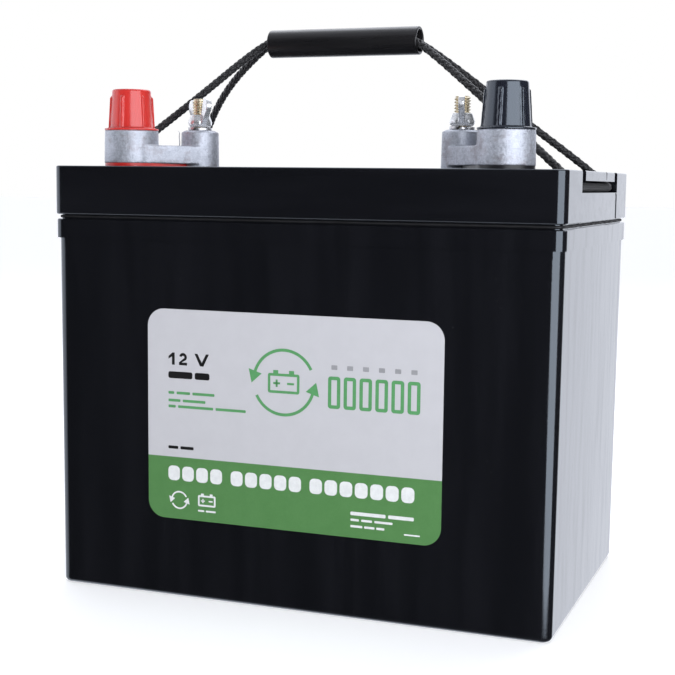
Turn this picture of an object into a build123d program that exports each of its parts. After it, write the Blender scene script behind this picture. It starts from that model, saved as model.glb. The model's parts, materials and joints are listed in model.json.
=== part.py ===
from build123d import *
import math
import os

# Twelve volt deep cycle battery in the BCI group 24 case size, six sealed cells.
# Millimetres. The origin is the middle of the case's underside, +X runs along the
# long side towards the negative terminal, the labelled face is at -Y, and +Z is up.

os.makedirs("parts", exist_ok=True)

# Case
BODY_X, BODY_Y = 256.2, 165.2  # at the underside
DRAFT = 0.21  # degrees, wider at the top
BODY_TOP = 178.5  # where the thicker rim band starts
RIM_X, RIM_Y = 259.4, 168.4
RIM_TOP = 188.0  # weld line between case and lid
CORNER_R = 5.0
BASE_R = 2.5
FLOOR = 4.0
CELLS = 6
PARTITION = 2.2
CELL_X, CELL_Y = 39.9, 160.4
CELL_PITCH = CELL_X + PARTITION
CELL_R = 2.0

# Lid
LID_X, LID_Y = 260.0, 169.0
LID_TOP = 214.5
SKIRT_Z = 190.3  # lower edge of the skirt, just above the parting groove
GROOVE_DEPTH = 2.5
LID_PLATE = 3.5
LID_INNER = LID_TOP - LID_PLATE

# Rope windows in the two ends of the lid
POCKET_FLOOR = 204.2
POCKET_ROOF = 209.8
POCKET_IN = 112.0  # from the centre to the pocket's inner wall
POCKET_HALF = 49.0
TAB_HALF = 40.5
TAB_NICK_Y = 16.4
NICK_TOP, NICK_FOOT, NICK_LOW, NICK_DEPTH = 1.3, 0.6, 4.0, 2.0  # half widths, height, depth
PANEL_DEPTH = 0.3

# Valve cover and the six vents under it
COVER_X, COVER_Y, COVER_Z = 214.0, 34.0, 2.3
COVER_AT_Y = 24.0
COVER_GAP = 0.2
COVER_SEAT = 212.0
VENT_X = (-99.0, -62.0, -21.0, 21.0, 62.0, 99.0)
VENT_FLOOR = 204.5
NECK_TOP = 210.2
NECK_R, NECK_BORE = 6.0, 3.5
VENT_CAP_R = 7.5

# Terminals: a taper post and a threaded stud on one casting, mirrored about X = 0
POST_X, POST_Y = 97.0, -62.5
STUD_X, STUD_Y = 69.7, -40.0
SEAL_Z = 1.7
CASTING_Z = LID_TOP + SEAL_Z
POST_BOSS_R, POST_BOSS_TOP = 13.7, 232.5
STUD_BOSS_R, STUD_BOSS_TOP = 9.8, 233.3
WEB_TOP = 225.2
WEB_INSET = 0.5  # the web's sides stand in from the bosses
BOSS_DRAFT = 0.3  # radius lost from a boss's foot to its top
POST_HEIGHT = 17.0
POST_TAPER = 1.0  # radius lost over the post's height, one in nine on diameter
POST_R = {"positive": 9.75, "negative": 8.95}
BUSHING_R, PILLAR_R = 10.0, 6.2
BUSHING_LOW = 201.0

# 5/16-18 UNC stud with a hexagonal head cast into the boss
THREAD_R = 3.97
SHANK_R = 3.80
FREE_END_Z = 242.0  # above the nut's body
STUD_TOP = 249.3
HEAD_LOW, HEAD_HEIGHT, HEAD_ACROSS = 218.5, 5.3, 12.7
STUD_TIP = 0.5

# Split lock washer and wing nut
WASHER_R, WASHER_BORE, WASHER_Z = 6.2, 4.15, 1.7
NUT_LOW = STUD_BOSS_TOP + WASHER_Z
NUT_FOOT_R, NUT_R, NUT_NECK_R, NUT_BORE = 5.1, 6.1, 4.8, 4.02
NUT_FLANGE, NUT_BODY = 1.9, 6.2  # widest part and top of the body above its foot
WING_T = 2.8
WING_ANGLE = {"positive": -44.0, "negative": -77.0}  # degrees from +X

# Protective caps on the taper posts
CAP_FLANGE_R, CAP_FLANGE_Z = 13.6, 1.0
CAP_BASE_R, CAP_TOP_R = {"positive": 10.9, "negative": 11.3}, 9.65
CAP_TOP = {"positive": 252.9, "negative": 254.5}
CAP_WALL = 0.9
CAP_RIBS = 6
RIB_T = 1.4
RIB_PROUD, RIB_TOP_R, RIB_DROP = 0.75, 10.8, 4.2  # beyond the base, radius and depth of the top
RIB_ANGLE = {"positive": -88.0, "negative": -94.0}  # first rib, degrees from +X

# Handle: one rope through both lid ends and a tube grip
ROPE_D = 4.0
GRIP_X = -5.9  # middle of the grip along the rope
GRIP_Z = 280.4
GRIP_LENGTH, GRIP_R, GRIP_BORE = 82.6, 7.2, 5.6
STRAND_Y = 2.2  # each strand's distance from the grip's axis
STRAND_Z = GRIP_Z + 0.9  # the grip hangs on the strands
ROPE_JOIN = 2.0  # gap between the rope's two ends inside the grip
MOUTH_RIGHT, MOUTH_LEFT = 34.0, -50.0  # where the strands turn down at the grip's ends
MOUTH_BEND = 16.0
TAB_BEND = 5.0  # the rope folds under the tab
FOOT_Y = 44.75
FOOT_X, FOOT_Z = 116.5, 219.0
RUN_X, RUN_Z = 124.0, 206.8

# Label on the front face
LABEL_X, LABEL_Z, LABEL_R, LABEL_T = 152.6, 105.0, 8.7, 0.25
LABEL_AT_X, LABEL_AT_Z = -0.5, 92.5

# Plate groups
POSITIVE_T, NEGATIVE_T, MAT_T = 3.2, 2.2, 1.0
PLATE_PAIRS = 5
PLATE_HALF_Y = 75.0
PLATE_LOW, PLATE_TOP = 6.0, 166.0
MAT_LOW, MAT_TOP = 5.0, 168.0
MAT_HALF_Y = 77.5
LUG_Y = 12.0
STRAP_Y, STRAP_LOW, STRAP_TOP = 14.0, 172.0, 178.0
STRAP_AT_Y = -POST_Y
STRAP_REACH = 17.0
RISER_T, RISER_Y, RISER_TOP = 4.0, 16.0, 187.0
WELD_R, WELD_Z = 4.5, 182.5
PACK_X = (PLATE_PAIRS + 1) * NEGATIVE_T + PLATE_PAIRS * POSITIVE_T + 2 * PLATE_PAIRS * MAT_T

UP = Vector(0, 0, 1)
STANDING = (Align.CENTER, Align.CENTER, Align.MIN)


def cell_x(index):
    """Middle of a cell, counted from the positive end."""
    return (index - (CELLS - 1) / 2) * CELL_PITCH


def positive_side(index):
    """+1 or -1: the Y side of a cell's positive strap, alternating from cell to cell."""
    return -1 if index % 2 == 0 else 1


def partition_x(index):
    """Middle of the partition between a cell and the next one."""
    return cell_x(index) + CELL_PITCH / 2


# ---------------------------------------------------------------- case
with BuildPart() as case:
    with BuildSketch(Plane.XY):
        RectangleRounded(BODY_X, BODY_Y, CORNER_R)
    extrude(amount=BODY_TOP, taper=-DRAFT)
    fillet(case.edges().group_by(Axis.Z)[0], BASE_R)
    with BuildSketch(Plane.XY.offset(BODY_TOP)):
        RectangleRounded(RIM_X, RIM_Y, CORNER_R)
    extrude(amount=RIM_TOP - BODY_TOP)
    chamfer(case.edges().group_by(Axis.Z)[-1], 0.5)
    with BuildSketch(Plane.XY.offset(FLOOR)):
        with GridLocations(CELL_PITCH, 0, CELLS, 1):
            RectangleRounded(CELL_X, CELL_Y, CELL_R)
    extrude(amount=RIM_TOP - FLOOR, mode=Mode.SUBTRACT)
    for index in range(CELLS - 1):
        weld_y = -positive_side(index) * STRAP_AT_Y
        with Locations((partition_x(index), weld_y, WELD_Z)):
            Cylinder(WELD_R, PARTITION + 1.0, rotation=(0, 90, 0), mode=Mode.SUBTRACT)
case.part.label = "case"
export_step(case.part, "parts/case.step")


# ---------------------------------------------------------------- lid
ENDS = (-1, 1)
POCKET_MID = (POCKET_IN + LID_X / 2 + 2) / 2
POCKET_LONG = LID_X / 2 + 2 - POCKET_IN
SLOT_Y = (TAB_HALF + POCKET_HALF) / 2

with BuildPart() as lid:
    with BuildSketch(Plane.XY.offset(SKIRT_Z)):
        RectangleRounded(LID_X, LID_Y, CORNER_R)
    extrude(amount=LID_TOP - SKIRT_Z)
    fillet(lid.edges().group_by(Axis.Z)[-1], 0.8)
    chamfer(lid.edges().group_by(Axis.Z)[0], 0.5)
    with BuildSketch(Plane.XY.offset(RIM_TOP)):
        RectangleRounded(LID_X - 2 * GROOVE_DEPTH, LID_Y - 2 * GROOVE_DEPTH, CORNER_R - 1.5)
    extrude(amount=SKIRT_Z - RIM_TOP)
    # head space over each cell, divided by the ribs that meet the partitions
    with BuildSketch(Plane.XY.offset(RIM_TOP)):
        with GridLocations(CELL_PITCH, 0, CELLS, 1):
            RectangleRounded(CELL_X, CELL_Y, CELL_R)
    extrude(amount=LID_INNER - RIM_TOP, mode=Mode.SUBTRACT)
    # material under the rope windows, the vents and the terminals
    for end in ENDS:
        with Locations((end * 117.0, 0, POCKET_FLOOR - LID_PLATE)):
            Box(18.0, 106.0, LID_INNER + 0.5 - POCKET_FLOOR + LID_PLATE, align=STANDING)
        with Locations((end * POST_X, POST_Y, BUSHING_LOW)):
            Cylinder(BUSHING_R + 4.5, LID_INNER - BUSHING_LOW + 0.5, align=STANDING)
    with Locations((0, COVER_AT_Y, LID_INNER)):
        Box(2 * 110.0, COVER_Y + 6.0, 6.0)
    for x in VENT_X:
        with Locations((x, COVER_AT_Y, VENT_FLOOR - 3.5)):
            Cylinder(12.0, 10.5, align=STANDING)
    # rope windows: a pocket along the end, two slots up through the top, a tab between
    for end in ENDS:
        with Locations((end * POCKET_MID, 0, POCKET_FLOOR)):
            Box(
                POCKET_LONG,
                2 * POCKET_HALF,
                POCKET_ROOF - POCKET_FLOOR,
                align=STANDING,
                mode=Mode.SUBTRACT,
            )
        with Locations((end * POCKET_MID, SLOT_Y, POCKET_FLOOR), (end * POCKET_MID, -SLOT_Y, POCKET_FLOOR)):
            Box(
                POCKET_LONG,
                POCKET_HALF - TAB_HALF,
                20.0,
                align=STANDING,
                mode=Mode.SUBTRACT,
            )
        # tapered nick down the tab's outer face
        end_plane = Plane(origin=(end * LID_X / 2, 0, 0), x_dir=(0, end, 0), z_dir=(end, 0, 0))
        nick = end * TAB_NICK_Y
        with BuildSketch(end_plane):
            Polygon(
                (nick - NICK_TOP, LID_TOP + 1.0),
                (nick - NICK_FOOT, LID_TOP - NICK_LOW),
                (nick + NICK_FOOT, LID_TOP - NICK_LOW),
                (nick + NICK_TOP, LID_TOP + 1.0),
                align=None,
            )
        extrude(amount=-NICK_DEPTH, mode=Mode.SUBTRACT)
        # sunk panel under the window
        with BuildSketch(end_plane):
            with Locations((0, (SKIRT_Z + POCKET_FLOOR) / 2 - 2.5)):
                RectangleRounded(2 * POCKET_HALF, POCKET_FLOOR - SKIRT_Z + 4.4, 2.0)
        extrude(amount=-PANEL_DEPTH, mode=Mode.SUBTRACT)
    # seat for the flush valve cover
    with BuildSketch(Plane.XY.offset(COVER_SEAT)):
        with Locations((0, COVER_AT_Y)):
            RectangleRounded(COVER_X + 2 * COVER_GAP, COVER_Y + 2 * COVER_GAP, 4.0 + COVER_GAP)
    extrude(amount=5.0, mode=Mode.SUBTRACT)
    # vent wells, each with a neck and a bore into its cell
    for x in VENT_X:
        with Locations((x, COVER_AT_Y, VENT_FLOOR)):
            Cylinder(9.5, 10.0, align=STANDING, mode=Mode.SUBTRACT)
            Cylinder(NECK_R, NECK_TOP - VENT_FLOOR, align=STANDING)
            Cylinder(NECK_BORE, 30.0, mode=Mode.SUBTRACT)
    # bores for the lead bushings
    with Locations((-POST_X, POST_Y, LID_TOP), (POST_X, POST_Y, LID_TOP)):
        Cylinder(BUSHING_R, 40.0, mode=Mode.SUBTRACT)
lid.part.label = "lid"
export_step(lid.part, "parts/lid.step")


# ---------------------------------------------------------------- valve cover and vent caps
with BuildPart() as valve_cover:
    with BuildSketch(Plane.XY.offset(COVER_SEAT)):
        with Locations((0, COVER_AT_Y)):
            RectangleRounded(COVER_X, COVER_Y, 4.0)
    extrude(amount=COVER_Z)
    fillet(valve_cover.edges().group_by(Axis.Z)[-1], 0.5)
    # gas slots at both ends and a shallow finger notch in the middle of the rear edge
    with Locations((-104.0, COVER_AT_Y, COVER_SEAT), (104.0, COVER_AT_Y, COVER_SEAT)):
        Box(1.2, 16.0, 10.0, mode=Mode.SUBTRACT)
    with Locations((0, COVER_AT_Y + COVER_Y / 2, COVER_SEAT + COVER_Z)):
        Cylinder(6.0, 2.0, mode=Mode.SUBTRACT)
valve_cover.part.label = "valve_cover"
export_step(valve_cover.part, "parts/valve_cover.step")

for number, x in enumerate(VENT_X, start=1):
    with BuildPart() as vent_cap:
        with BuildSketch(Plane.XY.offset(VENT_FLOOR + 1.0)):
            with Locations((x, COVER_AT_Y)):
                Circle(VENT_CAP_R)
        extrude(amount=COVER_SEAT - VENT_FLOOR - 1.2)
        fillet(vent_cap.edges().group_by(Axis.Z)[-1], 0.8)
        with BuildSketch(Plane.XY.offset(VENT_FLOOR + 1.0)):
            with Locations((x, COVER_AT_Y)):
                Circle(NECK_R)
        extrude(amount=NECK_TOP - VENT_FLOOR - 1.0, mode=Mode.SUBTRACT)
    vent_cap.part.label = f"vent_cap_{number}"
    export_step(vent_cap.part, f"parts/vent_cap_{number}.step")


# ---------------------------------------------------------------- front label
FACE_LEAN = math.radians(DRAFT)
LABEL_FACE_Y = -BODY_Y / 2 - LABEL_AT_Z * math.tan(FACE_LEAN)
label_plane = Plane(
    origin=(LABEL_AT_X, LABEL_FACE_Y, LABEL_AT_Z),
    x_dir=(1, 0, 0),
    z_dir=(0, -math.cos(FACE_LEAN), -math.sin(FACE_LEAN)),
)
with BuildPart() as front_label:
    with BuildSketch(label_plane):
        RectangleRounded(LABEL_X, LABEL_Z, LABEL_R)
    extrude(amount=LABEL_T)
front_label.part.label = "front_label"
export_step(front_label.part, "parts/front_label.step")


# ---------------------------------------------------------------- terminals
for polarity, side in (("positive", -1), ("negative", 1)):
    post = (side * POST_X, POST_Y)
    stud = (side * STUD_X, STUD_Y)
    to_stud = Vector(stud[0] - post[0], stud[1] - post[1], 0)
    tongue = Vector(post[0], post[1], 0) + to_stud.normalized() * 21.0
    post_r = POST_R[polarity]

    with BuildPart() as seal_plate:
        with BuildSketch(Plane.XY.offset(LID_TOP)):
            with Locations(post):
                Circle(POST_BOSS_R - 0.2)
            with Locations((tongue.X, tongue.Y)):
                Circle(8.0)
            make_hull()
            with Locations(post):
                Circle(BUSHING_R, mode=Mode.SUBTRACT)
        extrude(amount=SEAL_Z)
    seal_plate.part.label = f"{polarity}_seal_plate"
    export_step(seal_plate.part, f"parts/{polarity}_seal_plate.step")

    with BuildPart() as bushing:
        with BuildSketch(Plane.XY.offset(BUSHING_LOW)):
            with Locations(post):
                Circle(BUSHING_R)
                Circle(PILLAR_R, mode=Mode.SUBTRACT)
        extrude(amount=CASTING_Z - BUSHING_LOW)
    bushing.part.label = f"{polarity}_bushing"
    export_step(bushing.part, f"parts/{polarity}_bushing.step")

    with BuildPart() as pillar:
        with BuildSketch(Plane.XY.offset(STRAP_TOP)):
            with Locations(post):
                Circle(PILLAR_R)
        extrude(amount=CASTING_Z - STRAP_TOP)
    pillar.part.label = f"{polarity}_pillar"
    export_step(pillar.part, f"parts/{polarity}_pillar.step")

    with BuildPart() as terminal:
        with Locations((post[0], post[1], CASTING_Z)):
            Cone(POST_BOSS_R, POST_BOSS_R - BOSS_DRAFT, POST_BOSS_TOP - CASTING_Z, align=STANDING)
        # the stud boss's heel rests on the lid beyond the seal plate
        with Locations((stud[0], stud[1], LID_TOP)):
            Cone(STUD_BOSS_R, STUD_BOSS_R - BOSS_DRAFT, STUD_BOSS_TOP - LID_TOP, align=STANDING)
        chamfer(terminal.faces().filter_by(Axis.Z).sort_by(Axis.Z)[-1].edges(), 1.0, 1.9)
        with BuildSketch(Plane.XY.offset(CASTING_Z)):
            with Locations(post):
                Circle(POST_BOSS_R - WEB_INSET)
            with Locations(stud):
                Circle(STUD_BOSS_R - WEB_INSET)
            make_hull()
        extrude(amount=WEB_TOP - CASTING_Z)
        with BuildSketch(Plane.XY.offset(LID_TOP)):
            with Locations(post):
                Circle(POST_BOSS_R - 0.2)
            with Locations((tongue.X, tongue.Y)):
                Circle(8.0)
            make_hull()
        extrude(amount=SEAL_Z, mode=Mode.SUBTRACT)
        with Locations((post[0], post[1], POST_BOSS_TOP)):
            Cone(post_r, post_r - POST_TAPER, POST_HEIGHT, align=STANDING)
        chamfer(terminal.edges().filter_by(GeomType.CIRCLE).group_by(Axis.Z)[-1], 0.6)
        # the stud is cast in: its head and shank fill these
        with BuildSketch(Plane.XY.offset(HEAD_LOW)):
            with Locations(stud):
                RegularPolygon(HEAD_ACROSS / 2, 6, major_radius=False)
        extrude(amount=HEAD_HEIGHT, mode=Mode.SUBTRACT)
        with BuildSketch(Plane.XY.offset(HEAD_LOW)):
            with Locations(stud):
                Circle(SHANK_R)
        extrude(amount=STUD_TOP - HEAD_LOW, mode=Mode.SUBTRACT)
    terminal.part.label = f"{polarity}_terminal"
    export_step(terminal.part, f"parts/{polarity}_terminal.step")

    with BuildPart() as threaded_stud:
        with BuildSketch(Plane.XY.offset(HEAD_LOW)):
            with Locations(stud):
                RegularPolygon(HEAD_ACROSS / 2, 6, major_radius=False)
        extrude(amount=HEAD_HEIGHT)
        with BuildSketch(Plane.XY.offset(HEAD_LOW)):
            with Locations(stud):
                Circle(SHANK_R)
        extrude(amount=FREE_END_Z - HEAD_LOW)
        with BuildSketch(Plane.XY.offset(FREE_END_Z)):
            with Locations(stud):
                Circle(THREAD_R)
        extrude(amount=STUD_TOP - FREE_END_Z)
        chamfer(threaded_stud.edges().group_by(Axis.Z)[-1], STUD_TIP)
    threaded_stud.part.label = f"{polarity}_stud"
    export_step(threaded_stud.part, f"parts/{polarity}_stud.step")

    with BuildPart() as lock_washer:
        with BuildSketch(Plane.XY.offset(STUD_BOSS_TOP)):
            with Locations(stud):
                Circle(WASHER_R)
                Circle(WASHER_BORE, mode=Mode.SUBTRACT)
        extrude(amount=WASHER_Z)
        # the split faces the front and leans over
        with Locations((stud[0], stud[1] - (WASHER_R + WASHER_BORE) / 2, STUD_BOSS_TOP + WASHER_Z / 2)):
            Box(0.9, WASHER_R - WASHER_BORE + 2.0, 4 * WASHER_Z, rotation=(0, 30, 0), mode=Mode.SUBTRACT)
    lock_washer.part.label = f"{polarity}_lock_washer"
    export_step(lock_washer.part, f"parts/{polarity}_lock_washer.step")

    wing_yaw = math.radians(WING_ANGLE[polarity])
    wing_dir = Vector(math.cos(wing_yaw), math.sin(wing_yaw), 0)
    wing_plane = Plane(origin=(stud[0], stud[1], NUT_LOW), x_dir=wing_dir, z_dir=wing_dir.cross(UP))
    with BuildPart() as wing_nut:
        with BuildSketch(wing_plane):
            with BuildLine():
                Polyline((0, 0), (NUT_FOOT_R, 0), (NUT_R - 0.2, NUT_FLANGE - 0.9))
                Spline(
                    (NUT_R - 0.2, NUT_FLANGE - 0.9),
                    (NUT_R, NUT_FLANGE),
                    (NUT_NECK_R, NUT_BODY),
                    tangents=((0.3, 1), (-0.25, 1)),
                )
                Polyline((NUT_NECK_R, NUT_BODY), (0, NUT_BODY), (0, 0))
            make_face()
        revolve(axis=Axis((stud[0], stud[1], NUT_LOW), (0, 0, 1)))
        with BuildSketch(wing_plane) as wings:
            with BuildLine():
                outer = Polyline((4.4, 1.2), (6.0, 1.4), (12.0, 7.4))
                ear = ThreePointArc(outer @ 1, (13.5, 12.0), (10.2, 14.3))
                Polyline(ear @ 1, (8.2, 13.8), (5.3, 7.6), (4.4, 6.2), (4.4, 1.2))
            make_face()
            mirror(about=Plane.YZ)
        extrude(amount=WING_T / 2, both=True)
        with Locations((stud[0], stud[1], NUT_LOW)):
            Cylinder(NUT_BORE, 60.0, mode=Mode.SUBTRACT)
    wing_nut.part.label = f"{polarity}_wing_nut"
    export_step(wing_nut.part, f"parts/{polarity}_wing_nut.step")

    flange_top = POST_BOSS_TOP + CAP_FLANGE_Z
    base_r, top = CAP_BASE_R[polarity], CAP_TOP[polarity]
    with BuildPart() as post_cap:
        with Locations((post[0], post[1], POST_BOSS_TOP)):
            Cylinder(CAP_FLANGE_R, CAP_FLANGE_Z, align=STANDING)
        with Locations((post[0], post[1], flange_top)):
            Cone(base_r, CAP_TOP_R, top - flange_top, align=STANDING)
        fillet(post_cap.edges().group_by(Axis.Z)[-1], 1.0)
        for rib in range(CAP_RIBS):
            turn = math.radians(RIB_ANGLE[polarity] + rib * 360.0 / CAP_RIBS)
            outwards = Vector(math.cos(turn), math.sin(turn), 0)
            with BuildSketch(Plane(origin=(post[0], post[1], 0), x_dir=outwards, z_dir=outwards.cross(UP))):
                Polygon(
                    (CAP_TOP_R - 0.6, flange_top),
                    (base_r + RIB_PROUD, flange_top),
                    (RIB_TOP_R, top - RIB_DROP),
                    (CAP_TOP_R - 0.6, top - RIB_DROP + 2.0),
                    align=None,
                )
            extrude(amount=RIB_T / 2, both=True)
        with Locations((post[0], post[1], POST_BOSS_TOP)):
            Cone(
                base_r - CAP_WALL,
                CAP_TOP_R - CAP_WALL,
                top - CAP_WALL - POST_BOSS_TOP,
                align=STANDING,
                mode=Mode.SUBTRACT,
            )
    post_cap.part.label = f"{polarity}_post_cap"
    export_step(post_cap.part, f"parts/{polarity}_post_cap.step")


# ---------------------------------------------------------------- plate groups and mats
def plate_positions(kind):
    """X of each plate's middle inside a cell, for 'positive', 'negative' or 'mat'."""
    positions = []
    x = -PACK_X / 2
    for layer in range(4 * PLATE_PAIRS + 1):
        here = "mat" if layer % 2 else ("negative" if layer % 4 == 0 else "positive")
        thickness = {"positive": POSITIVE_T, "negative": NEGATIVE_T, "mat": MAT_T}[here]
        if here == kind:
            positions.append(x + thickness / 2)
        x += thickness
    return positions


for index in range(CELLS):
    middle = cell_x(index)
    for kind, thickness, toward in (("positive", POSITIVE_T, -1), ("negative", NEGATIVE_T, 1)):
        strap_y = positive_side(index) * STRAP_AT_Y * (1 if kind == "positive" else -1)
        is_end = (index == 0 and kind == "positive") or (index == CELLS - 1 and kind == "negative")
        with BuildPart() as plates:
            with BuildSketch(Plane.XY.offset(PLATE_LOW)):
                for x in plate_positions(kind):
                    with Locations((middle + x, 0)):
                        Rectangle(thickness, 2 * PLATE_HALF_Y)
            extrude(amount=PLATE_TOP - PLATE_LOW)
            with BuildSketch(Plane.XY.offset(PLATE_TOP)):
                for x in plate_positions(kind):
                    with Locations((middle + x, strap_y)):
                        Rectangle(thickness, LUG_Y)
            extrude(amount=STRAP_LOW - PLATE_TOP)
            # cast-on strap, reaching the partition on the side of the next weld
            wall = middle + toward * CELL_X / 2
            far = middle - toward * (STRAP_REACH + 1.0)
            with BuildSketch(Plane.XY.offset(STRAP_LOW)):
                with Locations(((wall + far) / 2, strap_y)):
                    Rectangle(abs(wall - far), STRAP_Y)
            extrude(amount=STRAP_TOP - STRAP_LOW)
            if not is_end:
                with BuildSketch(Plane.XY.offset(STRAP_TOP)):
                    with Locations((wall - toward * RISER_T / 2, strap_y)):
                        Rectangle(RISER_T, RISER_Y)
                extrude(amount=RISER_TOP - STRAP_TOP)
        plates.part.label = f"cell_{index + 1}_{kind}_plates"
        export_step(plates.part, f"parts/cell_{index + 1}_{kind}_plates.step")

    # one glass mat per cell, folded back and forth between the plates
    sheets = plate_positions("mat")
    with BuildPart() as glass_mat:
        with BuildSketch(Plane.XY.offset(MAT_LOW)):
            for x in sheets:
                with Locations((middle + x, 0)):
                    Rectangle(MAT_T, 2 * MAT_HALF_Y)
            for fold, (near, following) in enumerate(zip(sheets, sheets[1:])):
                fold_y = (MAT_HALF_Y - MAT_T / 2) * (1 if fold % 2 == 0 else -1)
                with Locations((middle + (near + following) / 2, fold_y)):
                    Rectangle(following - near, MAT_T)
        extrude(amount=MAT_TOP - MAT_LOW)
    glass_mat.part.label = f"cell_{index + 1}_glass_mat"
    export_step(glass_mat.part, f"parts/cell_{index + 1}_glass_mat.step")

for index in range(CELLS - 1):
    with BuildPart() as cell_weld:
        with Locations((partition_x(index), -positive_side(index) * STRAP_AT_Y, WELD_Z)):
            Cylinder(WELD_R, PARTITION, rotation=(0, 90, 0))
    cell_weld.part.label = f"cell_weld_{index + 1}"
    export_step(cell_weld.part, f"parts/cell_weld_{index + 1}.step")


# ---------------------------------------------------------------- grip and rope
with BuildPart() as handle_grip:
    with BuildSketch(Plane(origin=(GRIP_X - GRIP_LENGTH / 2, 0, GRIP_Z), z_dir=(1, 0, 0))):
        Circle(GRIP_R)
        Circle(GRIP_BORE, mode=Mode.SUBTRACT)
    extrude(amount=GRIP_LENGTH)
    fillet(handle_grip.edges().filter_by(GeomType.CIRCLE), 0.6)
handle_grip.part.label = "handle_grip"
export_step(handle_grip.part, "parts/handle_grip.step")

rope_route = [
    (GRIP_X + ROPE_JOIN / 2, STRAND_Y, STRAND_Z),
    (MOUTH_RIGHT, STRAND_Y, STRAND_Z),
    (84.0, 20.0, 243.0),
    (FOOT_X - 2.0, FOOT_Y - 0.6, FOOT_Z),
    (RUN_X, FOOT_Y, RUN_Z),
    (RUN_X, -FOOT_Y, RUN_Z),
    (FOOT_X, -FOOT_Y, FOOT_Z),
    (78.0, -25.5, 247.5),
    (MOUTH_RIGHT, -STRAND_Y, STRAND_Z),
    (MOUTH_LEFT, -STRAND_Y, STRAND_Z),
    (-85.0, -25.0, 246.3),
    (-FOOT_X, -FOOT_Y, FOOT_Z),
    (-RUN_X, -FOOT_Y, RUN_Z),
    (-RUN_X, FOOT_Y, RUN_Z),
    (-FOOT_X, FOOT_Y, FOOT_Z),
    (-86.5, 18.0, 255.0),
    (MOUTH_LEFT, STRAND_Y, STRAND_Z),
    (GRIP_X - ROPE_JOIN / 2, STRAND_Y, STRAND_Z),
]


def bend_radii(route):
    """As large as the two runs allow, but no larger than the edge that the rope bends over."""
    radii = []
    for before, here, after in zip(route, route[1:], route[2:]):
        arriving = Vector(*here) - Vector(*before)
        leaving = Vector(*after) - Vector(*here)
        half_turn = math.radians(arriving.get_angle(leaving)) / 2
        radius = 0.45 * min(arriving.length, leaving.length) / math.tan(half_turn)
        if here[2] == STRAND_Z:
            radius = min(radius, MOUTH_BEND)
        if here[2] == RUN_Z:
            radius = min(radius, TAB_BEND)
        radii.append(radius)
    return radii


radii = bend_radii(rope_route)
with BuildPart() as handle_rope:
    with BuildLine() as rope_line:
        FilletPolyline(*rope_route, radius=radii)
    with BuildSketch(Plane(origin=rope_route[0], z_dir=(1, 0, 0))):
        Circle(ROPE_D / 2)
    sweep(path=rope_line.wires()[0])
handle_rope.part.label = "handle_rope"
export_step(handle_rope.part, "parts/handle_rope.step")

rope_length = rope_line.wires()[0].length
section = math.pi * (ROPE_D / 2) ** 2
print("rope length", round(rope_length, 1), "radii", [round(r, 1) for r in radii])
print("rope volume over section times length", round(handle_rope.part.volume / (section * rope_length), 4))
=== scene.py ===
import json
import math

import bmesh
import bpy
from mathutils import Matrix, Vector, noise


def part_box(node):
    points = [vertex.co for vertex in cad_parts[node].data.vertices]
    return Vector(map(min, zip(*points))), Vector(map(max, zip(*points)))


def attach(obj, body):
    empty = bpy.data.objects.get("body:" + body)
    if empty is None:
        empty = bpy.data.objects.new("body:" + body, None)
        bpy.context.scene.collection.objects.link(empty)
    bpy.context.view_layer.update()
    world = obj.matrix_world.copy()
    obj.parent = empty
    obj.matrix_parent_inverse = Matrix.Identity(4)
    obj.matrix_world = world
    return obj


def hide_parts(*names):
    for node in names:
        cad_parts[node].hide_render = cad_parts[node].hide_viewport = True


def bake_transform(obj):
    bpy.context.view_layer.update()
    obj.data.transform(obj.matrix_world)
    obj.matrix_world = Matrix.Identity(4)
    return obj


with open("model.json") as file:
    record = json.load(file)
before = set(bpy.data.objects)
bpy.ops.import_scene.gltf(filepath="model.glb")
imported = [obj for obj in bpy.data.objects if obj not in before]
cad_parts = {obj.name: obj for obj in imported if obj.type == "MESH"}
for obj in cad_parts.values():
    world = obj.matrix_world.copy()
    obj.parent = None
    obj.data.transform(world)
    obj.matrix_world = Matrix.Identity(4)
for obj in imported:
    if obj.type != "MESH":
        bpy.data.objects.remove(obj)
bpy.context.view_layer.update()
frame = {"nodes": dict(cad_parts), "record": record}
nodes = frame["nodes"]
scene = bpy.context.scene
MM = 0.001
TURN = 2 * math.pi
POLARITIES = ("positive", "negative")


# ---------------------------------------------------------------- camera
CAMERA_PLACE = (0.246245, -0.674264, 0.206786)
CAMERA_TURN = (20.645, 6.455, 0.696)  # degrees: left of +Y, down, rolled
CAMERA_LENS, CAMERA_SENSOR = 72.22, 36.0


def make_camera():
    azimuth, pitch, roll = (math.radians(a) for a in CAMERA_TURN)
    forward = Vector(
        (
            -math.sin(azimuth) * math.cos(pitch),
            math.cos(azimuth) * math.cos(pitch),
            -math.sin(pitch),
        )
    )
    level = Vector((math.cos(azimuth), math.sin(azimuth), 0))
    above = level.cross(forward)
    right = math.cos(roll) * level + math.sin(roll) * above
    up = math.cos(roll) * above - math.sin(roll) * level
    data = bpy.data.cameras.new("camera")
    data.sensor_width = CAMERA_SENSOR
    data.lens = CAMERA_LENS
    data.clip_start, data.clip_end = 0.01, 50.0
    camera = bpy.data.objects.new("camera", data)
    scene.collection.objects.link(camera)
    camera.matrix_world = Matrix.Translation(CAMERA_PLACE) @ (
        Matrix((right, up, -forward)).transposed().to_4x4()
    )
    scene.camera = camera


make_camera()


# ---------------------------------------------------------------- mesh helpers
def add_object(name, mesh):
    piece = bpy.data.objects.new(name, mesh)
    scene.collection.objects.link(piece)
    return piece


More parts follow.
